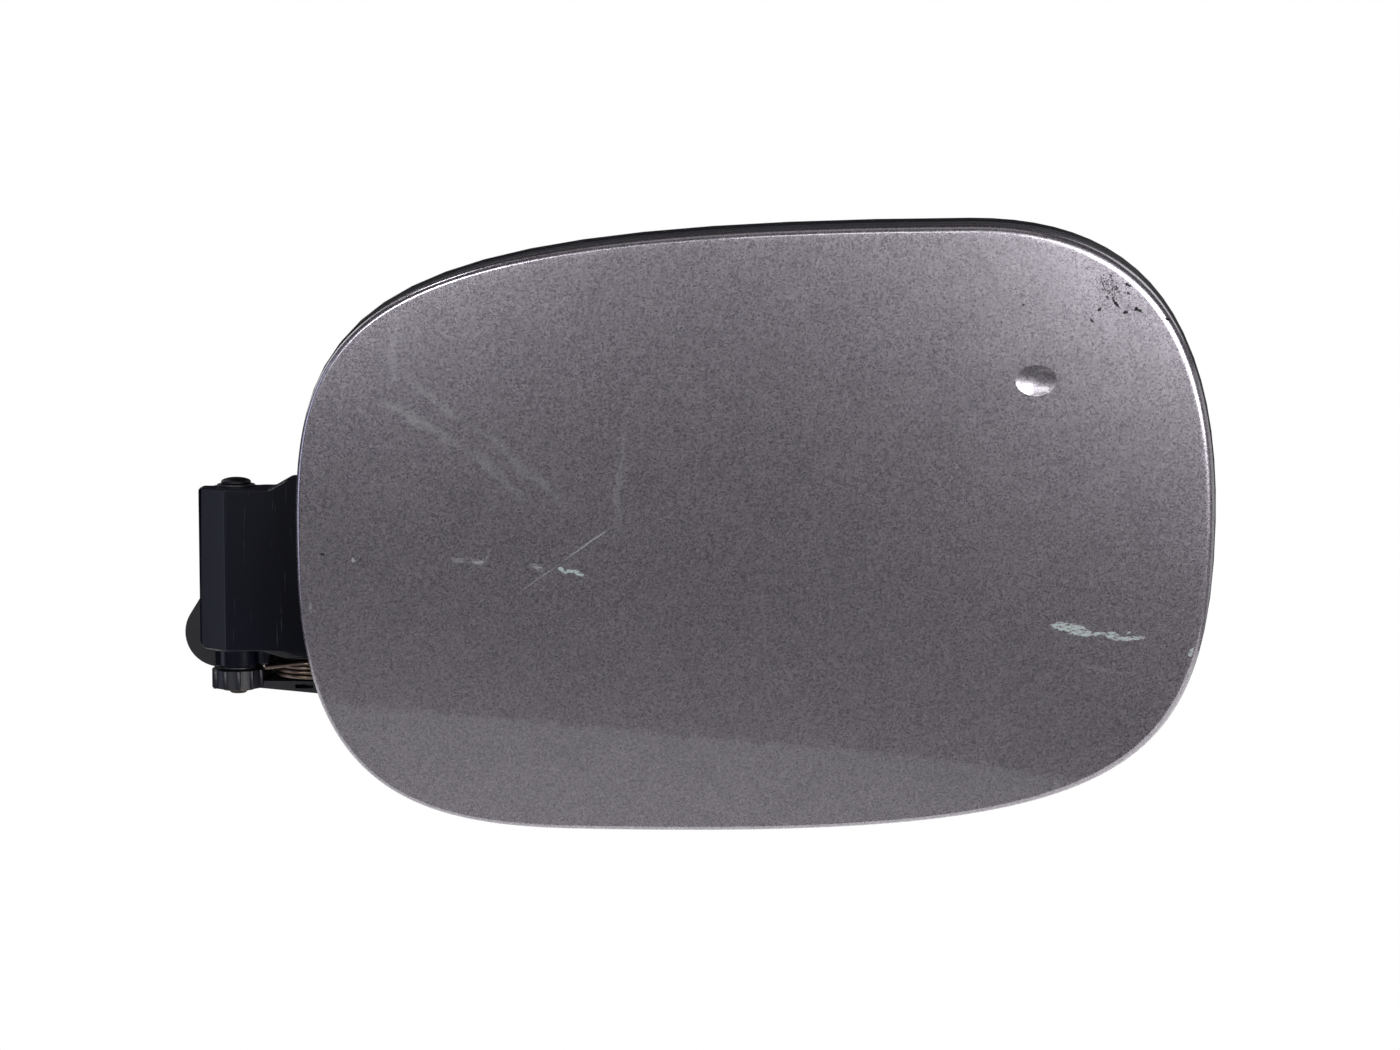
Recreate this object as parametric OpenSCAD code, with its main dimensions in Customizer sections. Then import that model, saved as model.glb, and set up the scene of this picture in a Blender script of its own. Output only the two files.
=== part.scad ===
// Car fuel door: crowned painted panel on a moulded carrier, carried by a gooseneck
// hinge arm that turns on an upright pin in a moulded base. Millimetres, +Z up,
// the outer face looks to -Y, the origin is on the base's back face at the pin.

/* [Door panel outline] */
// Reach of the panel to the left of its centre
panel_left = 99.1; // [85:0.1:115]
// Reach of the panel to the right of its centre
panel_right = 97.3; // [85:0.1:115]
// Reach of the panel above its centre
panel_top = 63.8; // [55:0.1:75]
// Reach of the panel below its centre
panel_bottom = 68.4; // [58:0.1:80]
// Height of the leftmost point against the centre
left_at = -11; // [-20:0.5:5]
// Place of the highest point along the panel
top_at = 45; // [30:0.5:60]
// Height of the rightmost point against the centre
right_at = -0.5; // [-10:0.5:10]
// Place of the lowest point along the panel
bottom_at = -40.5; // [-55:0.5:-20]
// Curve handle at the left point, upwards
left_handle_up = 50.5; // [40:0.5:60]
// Curve handle at the top point, to the left
top_handle_left = 140.3; // [110:0.5:145]
// Curve handle at the top point, to the right
top_handle_right = 31.3; // [20:0.1:45]
// Curve handle at the right point, upwards
right_handle_up = 48.7; // [35:0.1:60]
// Curve handle at the right point, downwards
right_handle_down = 60.2; // [45:0.1:65]
// Curve handle at the bottom point, to the right
bottom_handle_right = 115; // [90:0.5:130]
// Curve handle at the bottom point, to the left
bottom_handle_left = 33; // [20:0.5:50]
// Curve handle at the left point, downwards
left_handle_down = 51.2; // [35:0.1:55]

/* [Outer skin] */
// Radius of the panel's crown
crown_radius = 900; // [600:10:2000]
// Thickness of the pressed sheet
skin_t = 0.8; // [0.6:0.05:1]
// Radius of the rolled edge
edge_radius = 2; // [1.5:0.1:2.5]
// Depth of the return flange behind the face
flange_depth = 4.5; // [3.5:0.1:5.5]
// Place of the dimple along the panel
dimple_x = 58.9; // [40:0.1:68]
// Height of the dimple above the panel's centre
dimple_y = 31.4; // [15:0.1:36]
// Length of the dimple
dimple_l = 8.6; // [6:0.1:12]
// Height of the dimple
dimple_h = 6.3; // [5:0.1:9]
// Depth of the dimple
dimple_d = 1.2; // [0.5:0.1:1.5]

/* [Inner panel] */
// Gap for adhesive between skin and carrier
glue_gap = 0.3; // [0.2:0.05:0.6]
// Thickness of the carrier's floor and walls
carrier_t = 1.8; // [1.4:0.1:2.2]
// Depth of the carrier's rim behind the face
rim_depth = 10; // [9:0.1:11]
// How far the rim stands out past the skin below its flange
rim_lip = 0.4; // [0:0.05:0.8]
// Height of the stiffening ribs behind the floor
rib_h = 3.4; // [2:0.1:3.8]
// Thickness of a stiffening rib
rib_t = 1.4; // [1:0.1:2]
// Spacing of the stiffening ribs
rib_pitch = 19; // [15:0.5:21]

/* [Panel placing] */
// Place of the panel's centre to the right of the hinge pin
panel_x = 116; // [112:0.5:125]
// Depth of the crown's apex in front of the base's back face
panel_depth = 43; // [42:0.5:48]
// Height of the panel's centre above the hinge's middle
panel_z = 12.5; // [5:0.5:18]
// Lean of the panel, its top forward of the hinge axis
panel_lean = 7; // [3:0.5:9]

/* [Hinge arm] */
// Depth of the pin's axis in front of the base's back face
pin_depth = 13; // [12.5:0.1:14]
// Reach of the arm's face in front of the pin's axis
arm_front = 7; // [6.8:0.1:7.2]
// Reach of the arm's left wall from the pin's axis
arm_left = 8.2; // [8:0.1:9]
// Half height of the arm at the pin
arm_half = 18; // [17:0.1:19]
// How far the arm rises beside the door above its upper ear
neck_rise = 2.2; // [1.8:0.1:3]
// How far the arm drops beside the door below its lower ear
neck_fall = 1.8; // [1.5:0.1:2.5]
// Wall thickness of the arm
arm_wall = 2.4; // [2:0.1:2.8]
// Thickness of the arm's flange on the carrier
flange_t = 3; // [2.5:0.1:3.5]
// Depth of the flange's seat behind the panel's apex
seat_depth = 12; // [11.5:0.1:12.5]
// Radius of the arm's lower boss
boss_r = 5.1; // [4.8:0.1:5.3]
// Length of the arm's lower boss
boss_len = 4; // [3.5:0.1:4.2]

/* [Pin and bushes] */
// Radius of the hinge pin
pin_r = 2; // [1.8:0.05:2.2]
// Running clearance between pin and bush
pin_fit = 0.05; // [0.02:0.01:0.09]
// Wall thickness of a bush
bush_wall = 0.9; // [0.7:0.05:1]
// Radius of the pin's head
head_r = 3.3; // [3:0.1:4]
// Height of the pin's domed head
head_h = 1.4; // [1:0.1:2]

/* [Hinge base] */
// Thickness of the base's back plate
plate_t = 3; // [2.5:0.1:3.2]
// Radius of the base's mounting ears
ear_r = 7.8; // [7:0.1:8.2]
// Place of the left mounting ear
ear_left_x = -5.9; // [-7:0.1:-5]
// Height of the left mounting ear above the arm's lower ear
ear_left_rise = 2; // [1:0.1:4]
// Place of the two right mounting ears
ear_right_x = 38; // [34:0.5:44]
// Drop of the upper right mounting ear below the arm's upper ear
ear_upper_drop = 1; // [-2:0.5:4]
// Drop of the lower right mounting ear below the arm's lower ear
ear_lower_drop = 0; // [-4:0.5:2]
// Radius of the mounting hole in a sleeve
hole_r = 2.65; // [2.6:0.05:3]
// Wall thickness of a sleeve
sleeve_wall = 1; // [0.8:0.1:1.4]
// Radius of the base's lower collar
collar_r = 5.8; // [5.5:0.1:6.2]
// Length of the base's lower collar
collar_len = 4; // [3.5:0.1:4.5]
// Radius of the base's upper knuckle
knuckle_r = 5.1; // [4.6:0.1:5.2]
// Length of the base's upper knuckle
knuckle_len = 9; // [6:0.5:12]

/* [Torsion spring] */
// Thickness of the spring's wire
wire_d = 0.9; // [0.7:0.05:1]
// Outer radius of the coil as a share of the panel's depth
coil_share = 0.2; // [0.19:0.005:0.21]
// Gap between the pin's axis and the coil
coil_left = 8.2; // [8:0.1:9]
// Gap between the base's back plate and the coil
coil_back = 0.2; // [0.1:0.1:0.6]
// Whole turns in the coil
coil_turns = 4; // [2:1:4]

/* [Latch, hook and buffers] */
// Place of the striker along the panel
striker_x = 79; // [76:0.5:81]
// Radius of the striker's loop wire
striker_wire = 2; // [1.6:0.1:2.2]
// Width between the centres of the loop's legs
striker_span = 13; // [12:0.5:15]
// Reach of the loop behind its foot
striker_reach = 16; // [14:0.5:20]
// Place of the cap holder along the panel
holder_x = 18; // [12:0.5:24]
// Radius of a rubber buffer
buffer_r = 5; // [4:0.1:6]
// Place of the two buffers along the panel
buffer_x = 62; // [56:0.5:66]
// Height of the upper buffer
buffer_upper_y = 42; // [38:0.5:44]
// Height of the lower buffer
buffer_lower_y = -36; // [-40:0.5:-32]

/* [Hidden] */
$fn = 64;

// Finish
paint_grey = "#7c7980";
moulded_black = "#1c1d22";
steel_grey = "#9a9b9d";
rubber_black = "#111113";

// Outline: points along each of the four curves
curve_steps = 20;

// Clearances and small sizes
slip = 0.3;
eps = 0.01;
round_steps = 6;
floor_front = skin_t + glue_gap;
floor_back = floor_front + carrier_t;
wall_inset = skin_t + slip;
thread_r = 1.6;
screw_hole_r = 2.2;
screw_head_r = 4;
screw_head_h = 2.4;
screw_bite = 8;
foot_t = 2.4;
neck_top = arm_half + neck_rise;
neck_bottom = arm_half + neck_fall;
coil_r = coil_share * panel_depth;
coil_x = coil_left + coil_r;
coil_depth = plate_t + coil_back + coil_r;

function unit(v) = v / norm(v);
function lerp(a, b, s) = a + (b - a) * s;

// Cubic curve through a and d with the handles b and c, and its direction
function curve_point(a, b, c, d, s) =
    pow(1 - s, 3) * a + 3 * pow(1 - s, 2) * s * b + 3 * (1 - s) * s * s * c + pow(s, 3) * d;
function curve_slope(a, b, c, d, s) =
    unit(pow(1 - s, 2) * (b - a) + 2 * (1 - s) * s * (c - b) + s * s * (d - c));

// Panel outline, counter-clockwise: right, top, left and bottom points with their handles
point_right = [panel_right, right_at];
point_top = [top_at, panel_top];
point_left = [-panel_left, left_at];
point_bottom = [bottom_at, -panel_bottom];
outline_curves = [
    [point_right, point_right + [0, right_handle_up], point_top + [top_handle_right, 0], point_top],
    [point_top, point_top - [top_handle_left, 0], point_left + [0, left_handle_up], point_left],
    [point_left, point_left - [0, left_handle_down], point_bottom - [bottom_handle_left, 0], point_bottom],
    [point_bottom, point_bottom + [bottom_handle_right, 0], point_right - [0, right_handle_down], point_right]
];
outline_points = [
    for (c = outline_curves, i = [0:curve_steps - 1]) curve_point(c[0], c[1], c[2], c[3], i / curve_steps)
];
outline_slopes = [
    for (c = outline_curves, i = [0:curve_steps - 1]) curve_slope(c[0], c[1], c[2], c[3], i / curve_steps)
];
// The outline moved inwards by a distance
function outline_inset(distance) = [
    for (i = [0:len(outline_points) - 1])
        outline_points[i] + distance * [-outline_slopes[i].y, outline_slopes[i].x]
];

// How far the crown has fallen at a place on the panel
function crown_drop(p) = crown_radius - sqrt(crown_radius * crown_radius - p.x * p.x - p.y * p.y);

// Corner points with a round of their own: each is [x, y, radius]
function corner_round(before, corner, after) =
    let (
        here = [corner.x, corner.y],
        back = unit([before.x, before.y] - here),
        ahead = unit([after.x, after.y] - here),
        half = acos(back * ahead) / 2,
        r = corner[2],
        centre = here + unit(back + ahead) * r / sin(half),
        first = here + back * r / tan(half) - centre,
        last = here + ahead * r / tan(half) - centre,
        start = atan2(first.y, first.x),
        turn = (atan2(last.y, last.x) - start + 540) % 360 - 180
    )
    [for (i = [0:round_steps]) centre + r * [cos(start + turn * i / round_steps), sin(start + turn * i / round_steps)]];
function rounded(corners) = [
    for (i = [0:len(corners) - 1])
        let (
            n = len(corners),
            corner = corners[i],
            points = corner[2] > 0
                ? corner_round(corners[(i + n - 1) % n], corner, corners[(i + 1) % n])
                : [[corner.x, corner.y]]
        )
        each points
];

// Places the panel's own frame: x right, y up, z out of the face
module in_panel() {
    translate([panel_x, -panel_depth, panel_z])
        rotate([90 + panel_lean, 0, 0])
            children();
}

// A shape drawn in plan, x right and y outwards, raised from low to high
module plan_plate(low, high) {
    translate([0, 0, low])
        linear_extrude(high - low)
            mirror([0, 1])
                children();
}

// A shape drawn as seen from the front, x right and y up, between two depths
module front_plate(near, far) {
    translate([0, -near, 0])
        rotate([90, 0, 0])
            linear_extrude(far - near)
                children();
}

// The panel's outline as a block, wide enough for every layer
module outline_block(inset) {
    translate([0, 0, -60])
        linear_extrude(70)
            polygon(outline_inset(inset));
}

// The layer between two depths behind the crowned face
module crown_layer(front, back) {
    translate([0, 0, -crown_radius])
        difference() {
            sphere(crown_radius - front, $fn = 360);
            sphere(crown_radius - back, $fn = 360);
        }
}

// Outer skin: rings from the dimple's middle to the edge, round the roll, down the
// flange and back inside, one wall thickness in
dimple_rings = [0.45, 0.8, 1.15];
face_rings = [0.2, 0.4, 0.6, 0.8, 1];
roll_rings = [30, 60, 90];
dimple_place = [dimple_x, dimple_y];
function dimple_edge(way) =
    let (a = dimple_l / 2, b = dimple_h / 2) way / sqrt(pow(way.x / a, 2) + pow(way.y / b, 2));
function dimple_fall(share) = share >= 1 ? 0 : dimple_d * pow(1 - share * share, 1.5);
function ways() = [for (p = outline_inset(edge_radius)) unit(p - dimple_place)];
function face_level(p, share, depth) = [p.x, p.y, -crown_drop(p) - dimple_fall(share) - depth];
function face_side(depth) = concat(
    [for (share = dimple_rings) [
        for (way = ways()) face_level(dimple_place + dimple_edge(way) * share, share, depth)
    ]],
    [for (share = face_rings) [
        for (p = outline_inset(edge_radius))
            let (way = unit(p - dimple_place), start = dimple_place + dimple_edge(way) * dimple_rings[2])
            face_level(lerp(start, p, share), 2, depth)
    ]]
);
function edge_ring(inset, depth) =
    let (limit = outline_inset(edge_radius), ring = outline_inset(inset))
    [for (i = [0:len(ring) - 1]) [ring[i].x, ring[i].y, -crown_drop(limit[i]) - depth]];
function roll_side(radius) = [
    for (a = roll_rings) edge_ring(edge_radius - radius * sin(a), edge_radius - radius * cos(a))
];
function reversed(list) = [for (i = [len(list) - 1:-1:0]) list[i]];
skin_rings = concat(
    face_side(0), roll_side(edge_radius), [edge_ring(0, flange_depth)],
    reversed(concat(face_side(skin_t), roll_side(edge_radius - skin_t), [edge_ring(skin_t, flange_depth)]))
);
ring_size = len(outline_points);
function ring_faces(count, size) = [
    for (r = [0:count - 2], i = [0:size - 1])
        let (a = r * size + i, b = r * size + (i + 1) % size, c = a + size, d = b + size)
        each [[a, c, b], [b, c, d]]
];
module outer_skin() {
    count = len(skin_rings);
    first = count * ring_size;
    last_ring = (count - 1) * ring_size;
    points = concat(
        [for (ring = skin_rings) each ring],
        [face_level(dimple_place, 0, 0), face_level(dimple_place, 0, skin_t)]
    );
    caps = [
        for (i = [0:ring_size - 1])
            let (j = (i + 1) % ring_size)
            each [[first, i, j], [first + 1, last_ring + j, last_ring + i]]
    ];
    color(paint_grey)
        in_panel()
            polyhedron(points, concat(caps, ring_faces(count, ring_size)));
}

// Where the arm's four screws go, in the panel's frame, clear of the arm's ears
flange_left = -76;
flange_right = -44;
screw_margin = 7;
ear_t = 2.6;
ear_inner = arm_half - ear_t;
screw_rise = ear_inner - screw_head_r - 1.2;
function seat_height(z) = (z - panel_z - (seat_depth + flange_t) * sin(panel_lean)) / cos(panel_lean);
arm_screw_places = [
    for (x = [flange_left + screw_margin, flange_right - screw_margin],
         z = [-screw_rise, screw_rise]) [x, seat_height(z)]
];
striker_half = striker_span / 2 + 10.5;
striker_screw_gap = 6;
striker_foot_half = 5.5;
striker_screw_places = [for (side = [-1, 1]) [striker_x, side * (striker_span / 2 + striker_screw_gap)]];
striker_seat = 10;
holder_y = 26;
holder_seat = 9;
holder_half = 11;
holder_high = 9;
holder_pin_gap = 7;
holder_pin_places = [for (side = [-1, 1]) [holder_x + side * holder_pin_gap, holder_y]];
buffer_places = [[buffer_x, buffer_upper_y], [buffer_x, buffer_lower_y]];
buffer_seat = 9;
buffer_stem_r = 2.2;
boss_outer_r = 4.4;
holder_pin_r = 1.4;
striker_base = striker_seat + crown_drop([striker_x, 0]);

// A round boss on the carrier's floor with its face at a depth behind the apex, or
// with extra the hole in it, which starts that much behind the face
module carrier_boss(place, r, depth, extra = 0) {
    floor_at = crown_drop(place) + (floor_front + floor_back) / 2;
    translate([place.x, place.y, -depth - extra])
        cylinder(r = r, h = depth + extra - floor_at);
}

module inner_panel() {
    rows = [for (y = [-3:3]) y * rib_pitch - 3];
    columns = [for (x = [-4:5]) x * rib_pitch - 10];
    color(moulded_black)
        in_panel()
            difference() {
                union() {
                    intersection() {
                        outline_block(edge_radius);
                        crown_layer(floor_front, floor_back);
                    }
                    intersection() {
                        difference() {
                            outline_block(wall_inset);
                            outline_block(wall_inset + carrier_t);
                        }
                        crown_layer(edge_radius, rim_depth);
                    }
                    intersection() {
                        difference() {
                            outline_block(-rim_lip);
                            outline_block(wall_inset + eps);
                        }
                        crown_layer(flange_depth + slip, rim_depth);
                    }
                    intersection() {
                        outline_block(wall_inset + carrier_t - eps);
                        crown_layer(floor_back - eps, floor_back + rib_h);
                        union() {
                            for (y = rows)
                                translate([-panel_left, y - rib_t / 2, -40])
                                    cube([panel_left + panel_right, rib_t, 45]);
                            for (x = columns)
                                translate([x - rib_t / 2, -panel_bottom, -40])
                                    cube([rib_t, panel_top + panel_bottom, 45]);
                        }
                    }
                    for (place = arm_screw_places)
                        carrier_boss(place, boss_outer_r, seat_depth);
                    for (place = striker_screw_places)
                        carrier_boss(place, boss_outer_r, striker_base);
                    for (place = holder_pin_places)
                        carrier_boss(place, boss_outer_r - 1, holder_seat);
                    for (place = buffer_places)
                        carrier_boss(place, boss_outer_r, buffer_seat + crown_drop(place));
                }
                // Window behind the dimple
                translate([dimple_x, dimple_y, -40])
                    cylinder(r = dimple_l / 2 + 1.5, h = 45);
                // Pilot holes for the screws, pins and stems
                for (place = arm_screw_places)
                    carrier_boss(place, thread_r, seat_depth, 1);
                for (place = striker_screw_places)
                    carrier_boss(place, thread_r, striker_base, 1);
                for (place = holder_pin_places)
                    carrier_boss(place, holder_pin_r + 0.1, holder_seat, 1);
                for (place = buffer_places)
                    carrier_boss(place, buffer_stem_r, buffer_seat + crown_drop(place), 1);
            }
}

// Hinge arm in plan: the path of its front and back, x right and y outwards
arm_face = pin_depth + arm_front;
neck_bend_x = 21;
neck_reach = panel_depth - seat_depth + 4;
flange_x = panel_x + flange_right;
arm_outline = rounded([
    [-arm_left, pin_depth - 1, 0],
    [-arm_left, arm_face - 5.2, 1.5],
    [-1.4, arm_face, 1],
    [neck_bend_x, arm_face, 5],
    [neck_bend_x + neck_reach - arm_face, neck_reach, 0],
    [flange_x, neck_reach, 0],
    [flange_x, neck_reach - 12, 1.5],
    [47, 19, 12],
    [25, 10.5, 14],
    [6, pin_depth - 4.5, 0],
    [0, pin_depth - 1, 0]
]);
arm_hollow = rounded([
    [-arm_left + arm_wall, -5, 0],
    [-arm_left + arm_wall, arm_face - 6.2, 0.8],
    [-0.5, arm_face - arm_wall, 0.6],
    [neck_bend_x + 1, arm_face - arm_wall, 6],
    [neck_bend_x + 1 + neck_reach - arm_face + arm_wall, neck_reach, 0],
    [flange_x + 5, neck_reach, 0],
    [flange_x + 5, -5, 0]
]);
// The arm as seen from the front
arm_side = rounded([
    [-arm_left - 1, arm_half, 0],
    [8.4, arm_half, 2],
    [12.2, neck_top, 2],
    [flange_x + 1, neck_top, 4],
    [flange_x + 1, -neck_bottom, 4],
    [11.7, -neck_bottom, 1],
    [6.6, -arm_half, 1],
    [-arm_left - 1, -arm_half, 0]
]);
knuckle_ear_r = 5.6;
bush_r = pin_r + pin_fit + bush_wall;
bush_flange_t = 0.5;
boss_bottom = arm_half + boss_len;
lug_x = 6.4;
lug_depth = 16.6;
lug_r = 1.5;
lug_bottom = arm_half + 3.2;

module pin_axis(low) {
    translate([0, -pin_depth, low])
        children();
}

// Everything in front of a depth behind the panel's apex
module panel_side(depth) {
    in_panel()
        translate([-panel_left - 30, -60, -depth])
            cube([2 * panel_left, 120, 50]);
}

module hinge_arm() {
    corner_cut = 1.3;
    color(moulded_black)
        difference() {
            union() {
                intersection() {
                    difference() {
                        union() {
                            plan_plate(-30, 30)
                                polygon(arm_outline);
                            pin_axis(-30)
                                cylinder(r = knuckle_ear_r, h = 60);
                        }
                        difference() {
                            union() {
                                plan_plate(-ear_inner, ear_inner)
                                    polygon(arm_hollow);
                                pin_axis(-ear_inner)
                                    cylinder(r = knuckle_ear_r + 0.3, h = 2 * ear_inner);
                            }
                            panel_side(seat_depth + flange_t);
                            // Middle rib between neck and flange
                            plan_plate(-1.1, 1.1)
                                polygon([[24, 5], [flange_x + 6, 5], [flange_x + 6, 50], [24, 50]]);
                        }
                    }
                    front_plate(0, 60)
                        polygon(arm_side);
                }
                pin_axis(-boss_bottom)
                    cylinder(r = boss_r, h = boss_len + ear_t);
                translate([lug_x, -lug_depth, -lug_bottom])
                    cylinder(r = lug_r, h = lug_bottom - arm_half + eps, $fn = 32);
            }
            panel_side(seat_depth);
            // Bush bores
            pin_axis(-boss_bottom - 1)
                cylinder(r = bush_r, h = 2 * boss_bottom);
            // Hole for the spring's upper end
            translate([lug_x, -lug_depth, -lug_bottom - 1])
                cylinder(r = wire_d / 2 + 0.15, h = lug_bottom - arm_half + 1, $fn = 24);
            // Corner at the upper left and bevel at the lower left
            translate([-arm_left - 1, -50, arm_half - corner_cut])
                difference() {
                    cube([1 + corner_cut, 60, corner_cut + 1]);
                    translate([1 + corner_cut, -1, 0])
                        rotate([-90, 0, 0])
                            cylinder(r = corner_cut, h = 62);
                }
            translate([-arm_left, -20, -arm_half])
                rotate([0, 45, 0])
                    cube([1.6, 60, 1.6], center = true);
            // Bevel along the lower edge of the face
            translate([-10, -arm_face, -arm_half])
                rotate([32, 0, 0])
                    translate([0, -3, -3])
                        cube([neck_bend_x + 8, 3, 5.3]);
            // Screw holes in the flange
            in_panel()
                for (place = arm_screw_places)
                    translate([place.x, place.y, -seat_depth - flange_t - 20])
                        cylinder(r = screw_hole_r, h = flange_t + 30);
        }
}

module bush(h) {
    difference() {
        union() {
            cylinder(r = bush_r, h = h);
            translate([0, 0, h])
                cylinder(r = bush_r + 1.2, h = bush_flange_t);
        }
        translate([0, 0, -1])
            cylinder(r = pin_r + pin_fit, h = h + 3);
    }
}

module upper_bush() {
    color("#8f8a7d")
        pin_axis(arm_half - ear_t)
            bush(ear_t);
}

module lower_bush() {
    color("#8f8a7d")
        pin_axis(-ear_inner)
            mirror([0, 0, 1])
                bush(ear_t + boss_len);
}

// Pan-head screw pointing into the panel, its head's seat at the origin
module panel_screw(grip) {
    translate([0, 0, -screw_head_h])
        difference() {
            union() {
                cylinder(r = screw_head_r, h = screw_head_h);
                cylinder(r = thread_r, h = screw_head_h + grip);
            }
            translate([0, 0, -eps])
                cylinder(r = 1.6, h = 1.4, $fn = 6);
        }
}

module arm_screw(index) {
    place = arm_screw_places[index];
    color(steel_grey)
        in_panel()
            translate([place.x, place.y, -seat_depth - flange_t])
                panel_screw(screw_bite - 0.5);
}
module arm_screw_1() { arm_screw(0); }
module arm_screw_2() { arm_screw(1); }
module arm_screw_3() { arm_screw(2); }
module arm_screw_4() { arm_screw(3); }

// Striker: a stamped foot with a wire loop that the latch catches
module striker() {
    color(steel_grey)
        in_panel()
            translate([striker_x, 0, -striker_base]) {
                difference() {
                    translate([0, 0, -foot_t])
                        linear_extrude(foot_t)
                            polygon(rounded([
                                [-striker_foot_half, -striker_half, 5], [striker_foot_half, -striker_half, 5],
                                [striker_foot_half, striker_half, 5], [-striker_foot_half, striker_half, 5]
                            ]));
                    for (place = striker_screw_places)
                        translate([place.x - striker_x, place.y, -foot_t - 1])
                            cylinder(r = screw_hole_r, h = foot_t + 2);
                }
                for (side = [-1, 1])
                    translate([0, side * striker_span / 2, -striker_reach + striker_span / 2])
                        cylinder(r = striker_wire, h = striker_reach - striker_span / 2 - foot_t + eps);
                translate([0, 0, -striker_reach + striker_span / 2 + eps])
                    rotate([0, 90, 0])
                        rotate([0, 0, -90])
                            rotate_extrude(angle = 180)
                                translate([striker_span / 2, 0])
                                    circle(striker_wire);
            }
}

module striker_screw(index) {
    place = striker_screw_places[index];
    color(steel_grey)
        in_panel()
            translate([place.x, place.y, -striker_base - foot_t])
                panel_screw(foot_t + 4);
}
module striker_screw_1() { striker_screw(0); }
module striker_screw_2() { striker_screw(1); }

// Cap holder: a clipped-on foot with a hook for the filler cap
module cap_holder() {
    hook_w = 12;
    color(moulded_black)
        in_panel()
            translate([holder_x, holder_y, -holder_seat]) {
                translate([0, 0, -foot_t])
                    linear_extrude(foot_t)
                        polygon(rounded([
                            [-holder_half, -holder_high, 3], [holder_half, -holder_high, 3],
                            [holder_half, holder_high, 3], [-holder_half, holder_high, 3]
                        ]));
                translate([-hook_w / 2, 0, -foot_t + eps])
                    rotate([0, 90, 0])
                        linear_extrude(hook_w)
                            polygon(rounded([
                                [0, -6, 0], [9, -6, 2.5], [9, 5, 1.2], [7, 5, 0.6], [7, -3.6, 1.4], [0, -3.6, 0]
                            ]));
                for (place = holder_pin_places)
                    translate([place.x - holder_x, 0, -eps])
                        cylinder(r = holder_pin_r, h = 3, $fn = 32);
            }
}

// Rubber buffer with a stem pressed into its boss
module bump_stop(place) {
    color(rubber_black)
        in_panel()
            translate([place.x, place.y, -buffer_seat - crown_drop(place)]) {
                mirror([0, 0, 1])
                    rotate_extrude()
                        polygon(concat([[0, 0], [buffer_r, 0]], rounded([
                            [buffer_r, 1, 0], [buffer_r - 0.8, 4, 1.2], [0, 4, 0]
                        ])));
                translate([0, 0, -eps])
                    cylinder(r = buffer_stem_r - 0.05, h = 4);
            }
}
module bump_stop_upper() { bump_stop(buffer_places[0]); }
module bump_stop_lower() { bump_stop(buffer_places[1]); }

// Hinge base in plan and as seen from the front
sleeve_r = hole_r + sleeve_wall;
sleeve_len = plate_t + 1;
ears = [
    [ear_left_x, ear_left_rise - arm_half],
    [ear_right_x, arm_half - ear_upper_drop],
    [ear_right_x, -arm_half - ear_lower_drop]
];
knuckle_top = ear_inner - 0.3;
knuckle_low = knuckle_top - knuckle_len;
collar_top = boss_bottom + bush_flange_t + 0.2;
collar_low = collar_top + collar_len;
coil_pitch = wire_d + 0.05;
coil_bottom = neck_bottom + slip + wire_d + coil_turns * coil_pitch;
shelf_top = coil_bottom + 0.4;
shelf_low = collar_low + 2.2;
shelf_right = coil_x + coil_r + 4;
crown_z = 7;

// The outline at a distance r round points listed clockwise, its corners arcs
function round_about(points, r) = [
    for (i = [0:len(points) - 1])
        let (
            n = len(points),
            came = points[i] - points[(i + n - 1) % n],
            goes = points[(i + 1) % n] - points[i],
            start = atan2(came.x, -came.y),
            turn = (start - atan2(goes.x, -goes.y) + 720) % 360,
            steps = ceil(turn / 7.5)
        )
        for (k = [0:steps]) points[i] + r * [cos(start - turn * k / steps), sin(start - turn * k / steps)]
];

hook_place = [10.6, 6.2];
hook_r = 2;
hook_bottom = collar_low;
clip_r = 3.6;

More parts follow.
